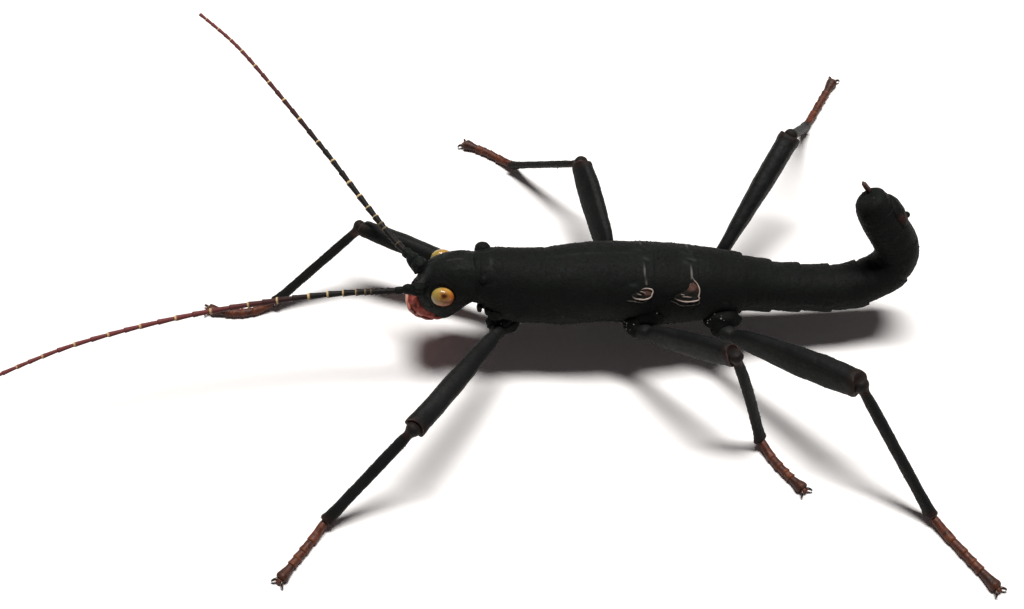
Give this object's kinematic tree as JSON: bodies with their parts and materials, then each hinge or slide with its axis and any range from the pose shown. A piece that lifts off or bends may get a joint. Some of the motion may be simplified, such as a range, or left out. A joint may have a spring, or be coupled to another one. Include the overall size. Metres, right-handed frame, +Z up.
{
  "type": "stick insect",
  "caption": "Black stick insect with golden eyes, long ringed feelers and small wing pads, standing on spread legs with its tail curled up over its back.",
  "frame": {"origin": "middle of the bounding box in plan, on the floor the feet stand on", "axes": "+X runs along the body from the head to the tail, +Y to the right side of the insect, +Z up from the floor"},
  "size_m": [0.0708, 0.052, 0.012],
  "materials": {
    "cuticle": "matte black body plates with a faint green-grey sheen and fine grains",
    "limb": "matte black thighs and shins, reddish brown at the edges and round the knees",
    "foot": "satin red-brown foot joints and tail feelers, darker at the claws",
    "eye": "glossy golden orange eye with a small dark spot",
    "mouthparts": "satin red mouthparts with a pale rim",
    "feeler": "satin dark brown with narrow cream rings, redder to the tip",
    "wing": "satin black wing pads with a pale pink rim",
    "membrane": "dull, soft and folded skin of the neck"
  },
  "bodies": {
    "root": {"head": "cuticle", "neck": "membrane", "mouth": "mouthparts", "prothorax": "cuticle", "mesothorax": "cuticle", "metathorax": "cuticle", "abdomen_1": "cuticle", "abdomen_2": "cuticle", "abdomen_3": "cuticle", "abdomen_4": "cuticle", "abdomen_5": "cuticle", "abdomen_6": "cuticle", "abdomen_7": "cuticle", "abdomen_8": "cuticle", "abdomen_9": "cuticle", "abdomen_10": "cuticle", "subgenital_plate": "cuticle", "eye_left": "eye", "antenna_base_left": "feeler", "antenna_left": "feeler", "cercus_left": "foot", "forewing_left": "wing", "hindwing_left": "wing", "coxa_fore_left": "cuticle", "femur_fore_left": "limb", "tibia_fore_left": "limb", "tarsus_fore_left": "foot", "coxa_mid_left": "cuticle", "femur_mid_left": "limb", "tibia_mid_left": "limb", "tarsus_mid_left": "foot", "coxa_hind_left": "cuticle", "femur_hind_left": "limb", "tibia_hind_left": "limb", "tarsus_hind_left": "foot", "eye_right": "eye", "antenna_base_right": "feeler", "antenna_right": "feeler", "cercus_right": "foot", "forewing_right": "wing", "hindwing_right": "wing", "coxa_fore_right": "cuticle", "femur_fore_right": "limb", "tibia_fore_right": "limb", "tarsus_fore_right": "foot", "coxa_mid_right": "cuticle", "femur_mid_right": "limb", "tibia_mid_right": "limb", "tarsus_mid_right": "foot", "coxa_hind_right": "cuticle", "femur_hind_right": "limb", "tibia_hind_right": "limb", "tarsus_hind_right": "foot"}
  },
  "joints": []
}
